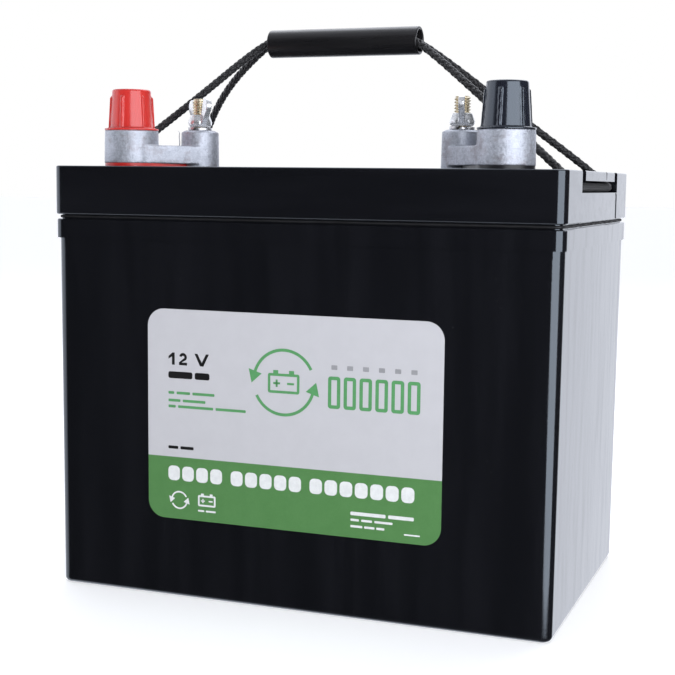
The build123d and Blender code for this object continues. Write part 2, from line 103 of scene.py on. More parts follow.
def mesh_piece(name, points, faces, material, smooth=True):
    """A piece from points in metres in the row frame."""
    mesh = bpy.data.meshes.new(name)
    mesh.from_pydata([tuple(p) for p in points], [], faces)
    mesh.update()
    mesh.polygons.foreach_set("use_smooth", [smooth] * len(mesh.polygons))
    mesh.materials.append(material)
    return add_object(name, mesh)


def grid_faces(rows, columns, first=0):
    """Quads between rows of points, each row a closed ring."""
    faces = []
    for row in range(rows - 1):
        for column in range(columns):
            following = (column + 1) % columns
            a = first + row * columns + column
            b = first + row * columns + following
            faces.append((a, b, b + columns, a + columns))
    return faces


# ---------------------------------------------------------------- material helpers
class Shader:
    """A node material that is read in object coordinates, which are the row frame's metres."""

    def __init__(self, name):
        self.material = bpy.data.materials.new(name)
        self.material.use_nodes = True
        self.tree = self.material.node_tree
        self.bsdf = self.tree.nodes["Principled BSDF"]
        self.place = self.tree.nodes.new("ShaderNodeTexCoord").outputs["Object"]
        self.heights = []

    def node(self, kind, **settings):
        made = self.tree.nodes.new(kind)
        for key, value in settings.items():
            setattr(made, key, value)
        return made

    def link(self, out, into):
        self.tree.links.new(out, into)

    def feed(self, socket, value):
        if isinstance(value, bpy.types.NodeSocket):
            self.link(value, socket)
        else:
            socket.default_value = value

    def stretched(self, stretch):
        if stretch == (1, 1, 1):
            return self.place
        mapping = self.node("ShaderNodeMapping")
        mapping.inputs["Scale"].default_value = stretch
        self.link(self.place, mapping.inputs["Vector"])
        return mapping.outputs["Vector"]

    def noise(self, scale, detail=4.0, rough=0.55, stretch=(1, 1, 1), distortion=0.0):
        made = self.node("ShaderNodeTexNoise")
        made.inputs["Scale"].default_value = scale
        made.inputs["Detail"].default_value = detail
        made.inputs["Roughness"].default_value = rough
        made.inputs["Distortion"].default_value = distortion
        self.link(self.stretched(stretch), made.inputs["Vector"])
        return made.outputs["Fac"]

    def cells(self, scale):
        made = self.node("ShaderNodeTexVoronoi", feature="F1")
        made.inputs["Scale"].default_value = scale
        self.link(self.place, made.inputs["Vector"])
        return made.outputs["Distance"]

    def spread(self, value, low, high, to_low=0.0, to_high=1.0):
        made = self.node("ShaderNodeMapRange", interpolation_type="SMOOTHSTEP")
        for key, number in (
            ("From Min", low),
            ("From Max", high),
            ("To Min", to_low),
            ("To Max", to_high),
        ):
            made.inputs[key].default_value = number
        self.link(value, made.inputs["Value"])
        return made.outputs["Result"]

    def math(self, operation, a, b=0.5):
        made = self.node("ShaderNodeMath", operation=operation)
        self.feed(made.inputs[0], a)
        self.feed(made.inputs[1], b)
        return made.outputs[0]

    def mix(self, share, a, b):
        made = self.node("ShaderNodeMix", data_type="RGBA", blend_type="MIX")
        self.feed(made.inputs["Factor"], share)
        for socket, value in ((made.inputs[6], a), (made.inputs[7], b)):
            self.feed(socket, value if isinstance(value, bpy.types.NodeSocket) else (*value, 1))
        return made.outputs[2]

    def bump(self, height, depth):
        """One more layer of relief, depth in metres."""
        made = self.node("ShaderNodeBump")
        made.inputs["Strength"].default_value = 1.0
        made.inputs["Distance"].default_value = depth
        self.link(height, made.inputs["Height"])
        if self.heights:
            self.link(self.heights[-1], made.inputs["Normal"])
        self.heights.append(made.outputs["Normal"])

    def finish(self, colour, roughness, **steady):
        self.feed(self.bsdf.inputs["Base Color"], colour)
        self.feed(self.bsdf.inputs["Roughness"], roughness)
        for key, value in steady.items():
            self.bsdf.inputs[key.replace("_", " ")].default_value = value
        if self.heights:
            self.link(self.heights[-1], self.bsdf.inputs["Normal"])
        return self.material


def moulded(name, dark, light, rough, grain=900.0, streak=(60, 60, 5), dust=0.0, **steady):
    """Moulded plastic: a faint flow streak, slow sink marks, fine grain and a little dust."""
    s = Shader(name)
    flow = s.noise(1.0, 5.0, 0.6, stretch=streak)
    colour = s.mix(s.spread(flow, 0.35, 0.7), dark, light)
    if dust:
        speck = s.spread(s.cells(260.0), 0.03, 0.07, 1.0, 0.0)
        where = s.spread(s.noise(35.0, 2.0), 0.5, 0.62)
        share = s.math("MULTIPLY", s.math("MULTIPLY", speck, where), dust)
        colour = s.mix(share, colour, (0.30, 0.30, 0.31))
    smear = s.noise(1.0, 6.0, 0.65, stretch=(streak[0] * 2.2, streak[1] * 2.2, streak[2] * 3))
    s.bump(s.noise(16.0, 1.0, 0.4), 0.10 * MM)
    s.bump(s.noise(grain, 2.0, 0.5), 0.012 * MM)
    return s.finish(colour, s.spread(smear, 0.3, 0.75, *rough), **steady)


def metal(name, dark, light, rough, scales, depths, metallic=1.0, stain=None):
    """Metal with mottled colour and relief at several scales."""
    s = Shader(name)
    mottle = s.noise(scales[0], 6.0, 0.65, distortion=0.4)
    colour = s.mix(s.spread(mottle, 0.3, 0.72), dark, light)
    if stain:
        tint, amount = stain
        patch = s.spread(s.noise(scales[0] * 0.35, 5.0, 0.6), 0.52, 0.72, 0.0, amount)
        colour = s.mix(patch, colour, tint)
    for scale, depth in zip(scales, depths):
        s.bump(s.noise(scale, 4.0, 0.6), depth)
    speckled = s.noise(scales[-1] * 0.5, 4.0, 0.6)
    return s.finish(colour, s.spread(speckled, 0.3, 0.7, *rough), Metallic=metallic)


def cast_alloy():
    """Sand-grey cast lead alloy: fine grain, pits, level tool marks and darker handling stains."""
    s = Shader("cast_lead_alloy")
    grain = s.noise(800.0, 6.0, 0.75)
    cloud = s.noise(190.0, 5.0, 0.6, distortion=0.3)
    marks = s.noise(1.0, 4.0, 0.6, stretch=(110, 110, 2100))
    pits = s.spread(s.cells(620.0), 0.10, 0.22, 1.0, 0.0)
    pitted = s.math("MULTIPLY", pits, s.spread(s.noise(120.0, 2.0), 0.5, 0.65))
    colour = s.mix(s.spread(cloud, 0.3, 0.7), (0.36, 0.38, 0.43), (0.50, 0.52, 0.58))
    colour = s.mix(s.spread(grain, 0.38, 0.66, 0.0, 0.75), colour, (0.66, 0.69, 0.75))
    colour = s.mix(s.spread(marks, 0.56, 0.75, 0.0, 0.5), colour, (0.25, 0.26, 0.30))
    colour = s.mix(s.math("MULTIPLY", pitted, 0.7), colour, (0.20, 0.20, 0.23))
    stain = s.spread(s.noise(95.0, 6.0, 0.7), 0.50, 0.66, 0.0, 0.7)
    colour = s.mix(stain, colour, (0.27, 0.25, 0.27))
    s.bump(cloud, 0.10 * MM)
    s.bump(marks, 0.05 * MM)
    s.bump(grain, 0.06 * MM)
    return s.finish(colour, s.spread(grain, 0.3, 0.7, 0.42, 0.62), Metallic=0.62)


def label_material():
    """Printed film: light grey with a green band along the bottom."""
    s = Shader("label_print_base")
    axes = s.node("ShaderNodeSeparateXYZ")
    s.link(s.place, axes.inputs[0])
    low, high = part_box("front_label")
    edge = low.z + 31.3 * MM
    above = s.spread(axes.outputs["Z"], edge - 0.08 * MM, edge + 0.08 * MM)
    mottle = s.noise(120.0, 5.0, 0.6)
    paper = s.mix(s.spread(mottle, 0.3, 0.7), (0.495, 0.490, 0.505), (0.510, 0.505, 0.520))
    band = s.mix(s.spread(mottle, 0.3, 0.7), (0.070, 0.200, 0.055), (0.077, 0.214, 0.060))
    screen = s.cells(2600.0)
    inked = s.mix(s.spread(screen, 0.25, 0.6, 0.0, 0.10), band, (0.18, 0.42, 0.16))
    s.bump(s.noise(14.0, 2.0, 0.5), 0.04 * MM)
    s.bump(s.noise(1400.0, 2.0, 0.5), 0.006 * MM)
    rough = s.spread(s.noise(60.0, 5.0, 0.6), 0.3, 0.7, 0.34, 0.40)
    return s.finish(s.mix(above, inked, paper), rough, IOR=1.45)


def ink(name, colour):
    s = Shader(name)
    tone = s.spread(s.noise(500.0, 4.0, 0.6), 0.3, 0.7)
    shade = tuple(0.9 * c for c in colour)
    s.bump(s.noise(1400.0, 2.0, 0.5), 0.006 * MM)
    rough = s.spread(s.noise(80.0, 4.0), 0.3, 0.7, 0.28, 0.38)
    return s.finish(s.mix(tone, shade, colour), rough, IOR=1.45)


def rope_material():
    """Black polypropylene yarns laid in each strand of the braid."""
    s = Shader("rope_yarn")
    phase = s.node("ShaderNodeAttribute", attribute_name="yarn").outputs["Fac"]
    wave = s.math("SINE", s.math("MULTIPLY", phase, TURN), 0.0)
    ridge = s.math("MULTIPLY_ADD", wave, 0.5)
    fibre = s.noise(2600.0, 3.0, 0.6)
    s.bump(ridge, 0.10 * MM)
    s.bump(fibre, 0.05 * MM)
    patch = s.spread(s.noise(160.0, 4.0, 0.6), 0.35, 0.7)
    base = s.mix(patch, (0.006, 0.006, 0.007), (0.015, 0.014, 0.015))
    # Lighter fibre specks painted into the colour where the fine fibre noise is high.
    speckled = s.mix(s.spread(fibre, 0.55, 0.80, 0.0, 0.45), base, (0.090, 0.082, 0.086))
    rough = s.spread(fibre, 0.3, 0.7, 0.42, 0.62)
    return s.finish(speckled, rough, **{"Sheen Weight": 0.10, "Sheen Roughness": 0.5})


def paste_material(name, dark, light, line_scale):
    """Pasted lead plate: granular active material over a grid of thin wires."""
    s = Shader(name)
    grain = s.noise(900.0, 5.0, 0.7)
    colour = s.mix(s.spread(grain, 0.3, 0.7), dark, light)
    wires = s.node("ShaderNodeTexWave", wave_type="BANDS", bands_direction="Z")
    wires.inputs["Scale"].default_value = line_scale
    wires.inputs["Distortion"].default_value = 0.3
    s.link(s.place, wires.inputs["Vector"])
    line = s.spread(wires.outputs["Fac"], 0.82, 0.95)
    s.bump(line, 0.15 * MM)
    s.bump(grain, 0.06 * MM)
    colour = s.mix(s.math("MULTIPLY", line, 0.6), colour, (0.20, 0.21, 0.22))
    return s.finish(colour, s.spread(grain, 0.3, 0.7, 0.6, 0.9))


def glass_mat_material():
    s = Shader("glass_fibre_mat")
    fibre = s.noise(1.0, 4.0, 0.6, stretch=(900, 250, 900), distortion=1.5)
    colour = s.mix(s.spread(fibre, 0.3, 0.7), (0.66, 0.66, 0.64), (0.84, 0.84, 0.82))
    s.bump(fibre, 0.12 * MM)
    return s.finish(colour, s.spread(fibre, 0.3, 0.7, 0.75, 0.95))


BLACK = ((0.0036, 0.0036, 0.0048), (0.0064, 0.0064, 0.0082))
BLUE_GLOSS = {"IOR": 1.70, "Specular Tint": (0.80, 0.90, 1.0, 1.0)}
case_plastic = moulded("case_moulding", *BLACK, (0.10, 0.20), dust=0.13, **BLUE_GLOSS)
lid_plastic = moulded(
    "lid_moulding", *BLACK, (0.10, 0.19), streak=(5, 60, 60), dust=0.13, **BLUE_GLOSS
)
cover_plastic = moulded(
    "cover_moulding",
    (0.007, 0.007, 0.008),
    (0.012, 0.012, 0.013),
    (0.28, 0.40),
    grain=1500.0,
    dust=0.3,
)
grip_plastic = moulded(
    "grip_tube",
    (0.0075, 0.0072, 0.0080),
    (0.016, 0.015, 0.016),
    (0.24, 0.38),
    streak=(12, 160, 160),
    dust=0.25,
)
vent_rubber = moulded(
    "vent_rubber", (0.012, 0.012, 0.012), (0.025, 0.025, 0.025), (0.65, 0.85), grain=1800.0
)
red_cap = moulded(
    "red_cap_vinyl",
    (0.58, 0.034, 0.028),
    (0.70, 0.052, 0.040),
    (0.16, 0.26),
    grain=1600.0,
    dust=0.1,
    IOR=1.55,
)
black_cap = moulded(
    "black_cap_vinyl",
    (0.008, 0.009, 0.014),
    (0.014, 0.016, 0.023),
    (0.12, 0.22),
    grain=1600.0,
    dust=0.15,
    **BLUE_GLOSS,
)
# The resin's red is set lighter than the red cap's: partly its own colour, partly painted light that
# brightens its shaded front edge.
red_seal = moulded(
    "red_seal_resin", (0.66, 0.026, 0.020), (0.82, 0.050, 0.040), (0.25, 0.45), grain=700.0
)
weld_plastic = moulded(
    "weld_flash", (0.006, 0.006, 0.007), (0.014, 0.014, 0.016), (0.50, 0.75), grain=900.0
)
black_seal = moulded(
    "black_seal_resin", (0.008, 0.008, 0.010), (0.020, 0.020, 0.024), (0.25, 0.45), grain=700.0
)
casting_metal = cast_alloy()
bright_zinc = metal(
    "bright_zinc",
    (0.66, 0.67, 0.68),
    (0.88, 0.89, 0.90),
    (0.18, 0.34),
    (420.0, 1500.0),
    (0.05 * MM, 0.015 * MM),
    metallic=0.72,
    stain=((0.42, 0.43, 0.42), 0.4),
)
yellow_zinc = metal(
    "yellow_zinc",
    (0.66, 0.56, 0.38),
    (0.90, 0.83, 0.66),
    (0.22, 0.38),
    (500.0, 1800.0),
    (0.03 * MM, 0.012 * MM),
    metallic=0.78,
    stain=((0.42, 0.29, 0.14), 0.5),
)
spring_steel = metal(
    "spring_steel",
    (0.48, 0.48, 0.49),
    (0.74, 0.74, 0.75),
    (0.22, 0.38),
    (450.0, 1600.0),
    (0.04 * MM, 0.015 * MM),
    metallic=0.85,
    stain=((0.20, 0.16, 0.13), 0.4),
)
soft_lead = metal(
    "soft_lead",
    (0.22, 0.23, 0.25),
    (0.40, 0.41, 0.44),
    (0.45, 0.68),
    (300.0, 1200.0),
    (0.10 * MM, 0.04 * MM),
)
positive_paste = paste_material("lead_dioxide_paste", (0.050, 0.018, 0.010), (0.105, 0.042, 0.024), 60.0)
negative_paste = paste_material("sponge_lead_paste", (0.16, 0.165, 0.175), (0.28, 0.285, 0.30), 60.0)
glass_mat = glass_mat_material()
rope_yarn = rope_material()
print_base = label_material()
black_ink = ink("label_black_ink", (0.010, 0.010, 0.010))
green_ink = ink("label_green_ink", (0.095, 0.315, 0.115))
grey_ink = ink("label_grey_ink", (0.30, 0.30, 0.31))
white_ink = ink("label_white_ink", (0.74, 0.75, 0.74))

SLOT_LOOKS = {
    "case_plastic": case_plastic,
    "lid_plastic": lid_plastic,
    "cover_plastic": cover_plastic,
    "vent_rubber": vent_rubber,
    "label_film": print_base,
    "rope_braid": rope_yarn,
    "grip_plastic": grip_plastic,
    "terminal_casting": casting_metal,
    "stud_steel": yellow_zinc,
    "washer_steel": spring_steel,
    "nut_steel": bright_zinc,
    "red_cap": red_cap,
    "black_cap": black_cap,
    "red_seal": red_seal,
    "black_seal": black_seal,
    "lead": soft_lead,
    "positive_paste": positive_paste,
    "negative_paste": negative_paste,
    "glass_mat": glass_mat,
}
for part in frame["record"]["subparts"]:
    slots = nodes[part["node"]].data.materials
    slots.clear()
    slots.append(SLOT_LOOKS[part["material_slot"]])


# ---------------------------------------------------------------- rope
STRAND_Y, STRAND_Z = 2.2 * MM, 281.3 * MM
MOUTH_RIGHT, MOUTH_LEFT = 34.0 * MM, -50.0 * MM
FOOT_X, FOOT_Y, FOOT_Z = 113.8 * MM, 44.75 * MM, 219.0 * MM
RUN_X, RUN_Z = 126.6 * MM, 206.8 * MM
NEAR_MOUTH = 9.0 * MM  # a point inside the grip keeps the strand straight up to its mouth
UNDER_TAB = 36.0 * MM  # and one under the tab keeps the fold at the tab's edge
ROPE_POINTS = [
    (-4.9 * MM, STRAND_Y, STRAND_Z),
    (MOUTH_RIGHT - NEAR_MOUTH, STRAND_Y, STRAND_Z),
    (MOUTH_RIGHT, STRAND_Y, STRAND_Z),
    (0.0880, 0.0190, 0.2392),
    (FOOT_X - 2.0 * MM, FOOT_Y - 0.6 * MM, FOOT_Z),
    (RUN_X, FOOT_Y, RUN_Z),
    (RUN_X, UNDER_TAB, RUN_Z),
    (RUN_X, -UNDER_TAB, RUN_Z),
    (RUN_X, -FOOT_Y, RUN_Z),
    (FOOT_X, -FOOT_Y, FOOT_Z),
    (0.0780, -0.0255, 0.2475),
    (MOUTH_RIGHT, -STRAND_Y, STRAND_Z),
    (MOUTH_RIGHT - NEAR_MOUTH, -STRAND_Y, STRAND_Z),
    (MOUTH_LEFT + NEAR_MOUTH, -STRAND_Y, STRAND_Z),
    (MOUTH_LEFT, -STRAND_Y, STRAND_Z),
    (-0.0850, -0.0250, 0.2463),
    (-FOOT_X, -FOOT_Y, FOOT_Z),
    (-RUN_X, -FOOT_Y, RUN_Z),
    (-RUN_X, -UNDER_TAB, RUN_Z),
    (-RUN_X, UNDER_TAB, RUN_Z),
    (-RUN_X, FOOT_Y, RUN_Z),
    (-FOOT_X, FOOT_Y, FOOT_Z),
    (-0.0865, 0.0180, 0.2550),
    (MOUTH_LEFT, STRAND_Y, STRAND_Z),
    (MOUTH_LEFT + NEAR_MOUTH, STRAND_Y, STRAND_Z),
    (-6.9 * MM, STRAND_Y, STRAND_Z),
]


def smooth_line(points):
    """The points of the NURBS line that has these as its control points."""
    data = bpy.data.curves.new("rope_line", "CURVE")
    data.dimensions = "3D"
    spline = data.splines.new("NURBS")
    spline.points.add(len(points) - 1)
    for control, place in zip(spline.points, points):
        control.co = (*place, 1.0)
    spline.order_u = 3
    spline.use_endpoint_u = True
    spline.resolution_u = 40
    carrier = bpy.data.objects.new("rope_line", data)
    mesh = bpy.data.meshes.new_from_object(carrier)
    line = [v.co.copy() for v in mesh.vertices]
    bpy.data.meshes.remove(mesh)
    bpy.data.objects.remove(carrier)
    bpy.data.curves.remove(data)
    return line


def evenly(line, step):
    """The same line with points about step apart."""
    along = [0.0]
    for a, b in zip(line, line[1:]):
        along.append(along[-1] + (b - a).length)
    count = math.ceil(along[-1] / step)
    out, here = [], 0
    for i in range(count + 1):
        at = along[-1] * i / count
        while here < len(line) - 2 and along[here + 1] < at:
            here += 1
        run = max(along[here + 1] - along[here], 1e-9)
        out.append(line[here].lerp(line[here + 1], (at - along[here]) / run))
    return out, along[-1] / count


def carried_frames(line):
    """(side, other side) across the line at each point, carried along it without twist."""
    frames = []
    side = Vector((0, 0, 1))
    for i in range(len(line)):
        ahead = (line[min(i + 1, len(line) - 1)] - line[max(i - 1, 0)]).normalized()
        side = (side - ahead * side.dot(ahead)).normalized()
        frames.append((side.copy(), ahead.cross(side)))
    return frames


BRAID_TURN = 23.0 * MM  # along the rope for one turn of a strand
STRANDS = 4  # each way round
STRAND_WIDE, STRAND_THICK = 1.95 * MM, 1.05 * MM
BRAID_R, BRAID_WAVE = 1.22 * MM, 0.36 * MM
STRAND_CORNERS = 8
YARN_PITCH = 1.1 * MM


def braided_rope():
    """Eight flat strands, four each way, passing over and under one another round a core."""
    line, step = evenly(smooth_line(ROPE_POINTS), 0.55 * MM)
    frames = carried_frames(line)
    points, faces, yarn = [], [], []
    for way in (1, -1):
        for strand in range(STRANDS):
            first = len(points)
            centres = []
            for i, (middle, (side, other)) in enumerate(zip(line, frames)):
                turn = TURN * i * step / BRAID_TURN
                angle = way * turn + TURN * strand / STRANDS
                radius = BRAID_R + way * BRAID_WAVE * math.cos(STRANDS * turn)
                out = math.cos(angle) * side + math.sin(angle) * other
                centres.append((middle + radius * out, out))
            for i, (centre, out) in enumerate(centres):
                after = centres[min(i + 1, len(centres) - 1)][0]
                before = centres[max(i - 1, 0)][0]
                along = (after - before).normalized()
                flat = along.cross(out).normalized()
                lift = flat.cross(along)
                for corner in range(STRAND_CORNERS):
                    a = TURN * corner / STRAND_CORNERS + math.pi
                    points.append(
                        centre
                        + lift * (STRAND_THICK / 2 * math.cos(a))
                        + flat * (STRAND_WIDE / 2 * math.sin(a))
                    )
                    yarn.append(way * i * step / YARN_PITCH + 1.6 * corner / STRAND_CORNERS)
            faces += grid_faces(len(line), STRAND_CORNERS, first)
            last = first + (len(line) - 1) * STRAND_CORNERS
            faces.append(tuple(first + c for c in reversed(range(STRAND_CORNERS))))
            faces.append(tuple(last + c for c in range(STRAND_CORNERS)))
    core_corners, core_r = 10, 0.95 * MM
    first = len(points)
    for middle, (side, other) in zip(line, frames):
        for corner in range(core_corners):
            a = TURN * corner / core_corners
            points.append(middle + core_r * (math.cos(a) * side + math.sin(a) * other))
            yarn.append(0.0)
    faces += grid_faces(len(line), core_corners, first)
    last = first + (len(line) - 1) * core_corners
    faces.append(tuple(first + c for c in reversed(range(core_corners))))
    faces.append(tuple(last + c for c in range(core_corners)))
    rope = mesh_piece("braided_rope", points, faces, rope_yarn)
    attribute = rope.data.attributes.new("yarn", "FLOAT", "POINT")
    attribute.data.foreach_set("value", yarn)
    return rope, line


rope, rope_line = braided_rope()
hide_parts("handle_rope")
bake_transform(rope)


# ---------------------------------------------------------------- parts refined from their solids
def softened(node, name, voxel, passes, relief=0.0, scale=300.0):
    """A copy of a CAD solid with its edges rounded and, for a casting, an uneven skin."""
    mesh = nodes[node].data.copy()
    cleaned = bmesh.new()
    cleaned.from_mesh(mesh)
    bmesh.ops.remove_doubles(cleaned, verts=cleaned.verts, dist=0.002 * MM)
    cleaned.to_mesh(mesh)
    cleaned.free()
    rough = add_object(name + "_rough", mesh)
    remesh = rough.modifiers.new("remesh", "REMESH")
    remesh.mode = "VOXEL"
    remesh.voxel_size = voxel
    smooth = rough.modifiers.new("smooth", "SMOOTH")
    smooth.factor = 0.5
    smooth.iterations = passes
    graph = bpy.context.evaluated_depsgraph_get()
    final = bpy.data.meshes.new_from_object(rough.evaluated_get(graph))
    bpy.data.objects.remove(rough)
    if relief:
        normals = [v.normal.copy() for v in final.vertices]
        for v, normal in zip(final.vertices, normals):
            lump = noise.noise(v.co * scale) + 0.6 * noise.noise(v.co * scale * 2.7)
            v.co += normal * (relief * lump)
    final.materials.clear()
    final.materials.append(nodes[node].data.materials[0])
    final.polygons.foreach_set("use_smooth", [True] * len(final.polygons))
    final.name = name
    return add_object(name, final)


for polarity in POLARITIES:
    casting = softened(
        f"{polarity}_terminal",
        f"{polarity}_casting",
        0.42 * MM,
        3,
        relief=0.05 * MM,
        scale=420.0,
    )
    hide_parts(f"{polarity}_terminal")
    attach(casting, "battery")
    nut = softened(
        f"{polarity}_wing_nut",
        f"{polarity}_forged_wing_nut",
        0.24 * MM,
        4,
        relief=0.015 * MM,
        scale=600.0,
    )
    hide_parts(f"{polarity}_wing_nut")
    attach(nut, f"{polarity}_nut")
    cap = softened(f"{polarity}_post_cap", f"{polarity}_moulded_cap", 0.34 * MM, 2)
    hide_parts(f"{polarity}_post_cap")
    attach(cap, f"{polarity}_cap")


# ---------------------------------------------------------------- threads and lock washers
THREAD_PITCH = 25.4 / 18 * MM
THREAD_R, THREAD_ROOT = 3.97 * MM, 3.18 * MM
TIP_BEVEL = 0.7 * MM
HEAD_HEIGHT, HEAD_ACROSS = 5.3 * MM, 12.7 * MM
AROUND = 48
WASHER_BORE = 4.15 * MM
SPLIT_GAP, SPLIT_LEAN = math.radians(9), math.radians(9)


def threaded_stud(node, name):
    """A stud with a helical thread above its hexagonal head."""
    low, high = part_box(node)
    axis_x, axis_y = (low.x + high.x) / 2, (low.y + high.y) / 2
    head_top = low.z + HEAD_HEIGHT
    rows = math.ceil((high.z - head_top) / (THREAD_PITCH / 14))
    points = [(axis_x, axis_y, head_top)]
    for row in range(rows + 1):
        z = head_top + (high.z - head_top) * row / rows
        tip = high.z - z
        for k in range(AROUND):
            phase = ((z - head_top) / THREAD_PITCH - k / AROUND) % 1.0
            ridge = min(1.0, max(0.0, 1.35 - 3.1 * abs(phase - 0.5)))
            radius = THREAD_ROOT + (THREAD_R - THREAD_ROOT) * ridge
            radius = min(radius, THREAD_R - TIP_BEVEL + tip * 0.9)
            a = TURN * k / AROUND
            points.append((axis_x + radius * math.cos(a), axis_y + radius * math.sin(a), z))
    faces = grid_faces(rows + 1, AROUND, 1)
    faces += [(0, 1 + (k + 1) % AROUND, 1 + k) for k in range(AROUND)]
    top = len(points)
    points.append((axis_x, axis_y, high.z))
    ring = 1 + rows * AROUND
    faces += [(top, ring + k, ring + (k + 1) % AROUND) for k in range(AROUND)]
    head = len(points)
    across = HEAD_ACROSS / math.sqrt(3)
    for z in (low.z, head_top):
        for k in range(6):
            a = TURN * k / 6
            points.append((axis_x + across * math.cos(a), axis_y + across * math.sin(a), z))
    faces += grid_faces(2, 6, head)
    faces.append(tuple(head + k for k in reversed(range(6))))
    faces.append(tuple(head + 6 + k for k in range(6)))
    return mesh_piece(name, points, faces, yellow_zinc)


def spring_washer(node, name):
    """A split ring whose two ends stand apart."""
    low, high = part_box(node)
    axis_x, axis_y = (low.x + high.x) / 2, (low.y + high.y) / 2
    inner, outer = WASHER_BORE, (high.x - low.x) / 2
    rise, edge = 0.38 * MM, 0.16 * MM
    thick = high.z - low.z - rise
    profile = [
        (inner + edge, 0.0),
        (outer - edge, 0.0),
        (outer, edge),
        (outer, thick - edge),
        (outer - edge, thick),
        (inner + edge, thick),
        (inner, thick - edge),
        (inner, edge),
    ]
    steps = 84
    points = []
    for i in range(steps + 1):
        share = i / steps
        for radius, z in profile:
            lean = SPLIT_LEAN * (z / thick - 0.5)
            a = -math.pi / 2 + SPLIT_GAP / 2 + lean + (TURN - SPLIT_GAP) * share
            points.append(
                (
                    axis_x + radius * math.cos(a),
                    axis_y + radius * math.sin(a),
                    low.z + z + rise * share,
                )
            )
    faces = [tuple(reversed(f)) for f in grid_faces(steps + 1, len(profile))]
    faces.append(tuple(range(len(profile))))
    last = steps * len(profile)
    faces.append(tuple(last + k for k in reversed(range(len(profile)))))
    return mesh_piece(name, points, faces, spring_steel, smooth=False)


for polarity in POLARITIES:
    stud = threaded_stud(f"{polarity}_stud", f"{polarity}_threaded_stud")
    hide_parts(f"{polarity}_stud")
    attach(stud, "battery")
    washer = spring_washer(f"{polarity}_lock_washer", f"{polarity}_spring_washer")
    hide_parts(f"{polarity}_lock_washer")
    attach(washer, f"{polarity}_washer")


# ---------------------------------------------------------------- flash
def weld_flash():
    """The uneven bead squeezed out where the lid is welded to the case, inside the groove."""
    half_x, half_y, corner = 127.5 * MM, 82.0 * MM, 2.5 * MM
    middle_z, half_z, proud, sunk = 189.15 * MM, 0.95 * MM, 0.75 * MM, 0.6 * MM
    line = []
    for x, y, first in ((1, -1, -90), (1, 1, 0), (-1, 1, 90), (-1, -1, 180)):
        for i in range(9):
            a = math.radians(first + 90 * i / 8)
            line.append(
                Vector(
                    (
                        x * (half_x - corner) + corner * math.cos(a),
                        y * (half_y - corner) + corner * math.sin(a),
                        0,
                    )
                )
            )
    line, _ = evenly(line + line[:1], 1.4 * MM)
    line.pop()
    points, section = [], 9
    for i, here in enumerate(line):
        along = (line[(i + 1) % len(line)] - line[i - 1]).normalized()
        out = along.cross(Vector((0, 0, 1)))
        swell = 1 + 0.35 * noise.noise(here * 90) + 0.2 * noise.noise(here * 400)
        drift = 0.18 * MM * noise.noise(here * 150 + Vector((7, 0, 0)))
        for k in range(section):
            a = TURN * k / section
            reach = math.cos(a) * (proud * swell if math.cos(a) > 0 else sunk)
            points.append(
                here + out * reach + Vector((0, 0, middle_z + drift + 0.8 * half_z * math.sin(a)))
            )
    faces = grid_faces(len(line), section)
    last = (len(line) - 1) * section
    for k in range(section):
        following = (k + 1) % section
        faces.append((last + k, last + following, following, k))
    bead = mesh_piece("weld_flash_bead", points, faces, weld_plastic)
    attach(bead, "battery")


def casting_whisker():
    """A thin sliver of casting flash standing on the web beside the positive stud's boss."""
    root = Vector((-79.2 * MM, -44.6 * MM, 224.9 * MM))
    side = Vector((math.cos(math.radians(20)), math.sin(math.radians(20)), 0))
    over = side.cross(Vector((0, 0, 1)))
    bends = ((0.0, 0.0), (0.1, 2.6), (-0.15, 5.0), (0.05, 7.4), (-0.5, 8.0), (-1.3, 8.1))
    points, sides = [], 6
    for share, (across, up) in enumerate(bends):
        thick = (0.27 - 0.03 * share) * MM
        middle = root + side * (across * MM) + Vector((0, 0, up * MM))
        for k in range(sides):
            a = TURN * k / sides
            points.append(middle + side * (thick * math.cos(a)) + over * (1.3 * thick * math.sin(a)))
    faces = grid_faces(len(bends), sides)
    faces.append(tuple(reversed(range(sides))))
    faces.append(tuple((len(bends) - 1) * sides + k for k in range(sides)))
    sliver = mesh_piece("casting_whisker", points, faces, casting_metal)
    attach(sliver, "battery")


weld_flash()
casting_whisker()


# ---------------------------------------------------------------- label print
label_low, label_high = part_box("front_label")
LEAN = math.radians(0.21)
LABEL_FILM = 0.25 * MM
INK_PROUD = 0.03 * MM
label_out = Vector((0, -math.cos(LEAN), -math.sin(LEAN)))
label_up = Vector((0, -math.sin(LEAN), math.cos(LEAN)))
label_middle = Vector(
    (
        (label_low.x + label_high.x) / 2,
        (label_low.y + label_high.y) / 2,
        (label_low.z + label_high.z) / 2,
    )
) + label_out * (LABEL_FILM / 2)


def on_label(across, up, proud=0.0):
    """A point on the label's face, from its middle in millimetres."""
    return label_middle + Vector((across * MM, 0, 0)) + label_up * (up * MM) + label_out * proud


def arc(across, up, radius, start, end, count=10):
    angles = [math.radians(start + (end - start) * i / count) for i in range(count + 1)]
    return [(across + radius * math.cos(a), up + radius * math.sin(a)) for a in angles]


def bar(left, low, right, high, corner=0.4):
    """A rectangle with rounded corners."""
    corner = min(corner, (right - left) / 2, (high - low) / 2)
    return (
        arc(right - corner, low + corner, corner, -90, 0, 4)
        + arc(right - corner, high - corner, corner, 0, 90, 4)
        + arc(left + corner, high - corner, corner, 90, 180, 4)
        + arc(left + corner, low + corner, corner, 180, 270, 4)
    )


def band_between(outer, inner):
    """Four-sided pieces between two lines with as many points."""
    return [
        [outer[i], outer[i + 1], inner[i + 1], inner[i]] for i in range(len(outer) - 1)
    ]


def frame_of(left, low, right, high, corner, stroke):
    """The outline of a rounded rectangle, drawn with that stroke."""
    outer = bar(left, low, right, high, corner)
    inner = bar(
        left + stroke, low + stroke, right - stroke, high - stroke, max(corner - stroke, 0.1)
    )
    return band_between(outer + outer[:1], inner + inner[:1])


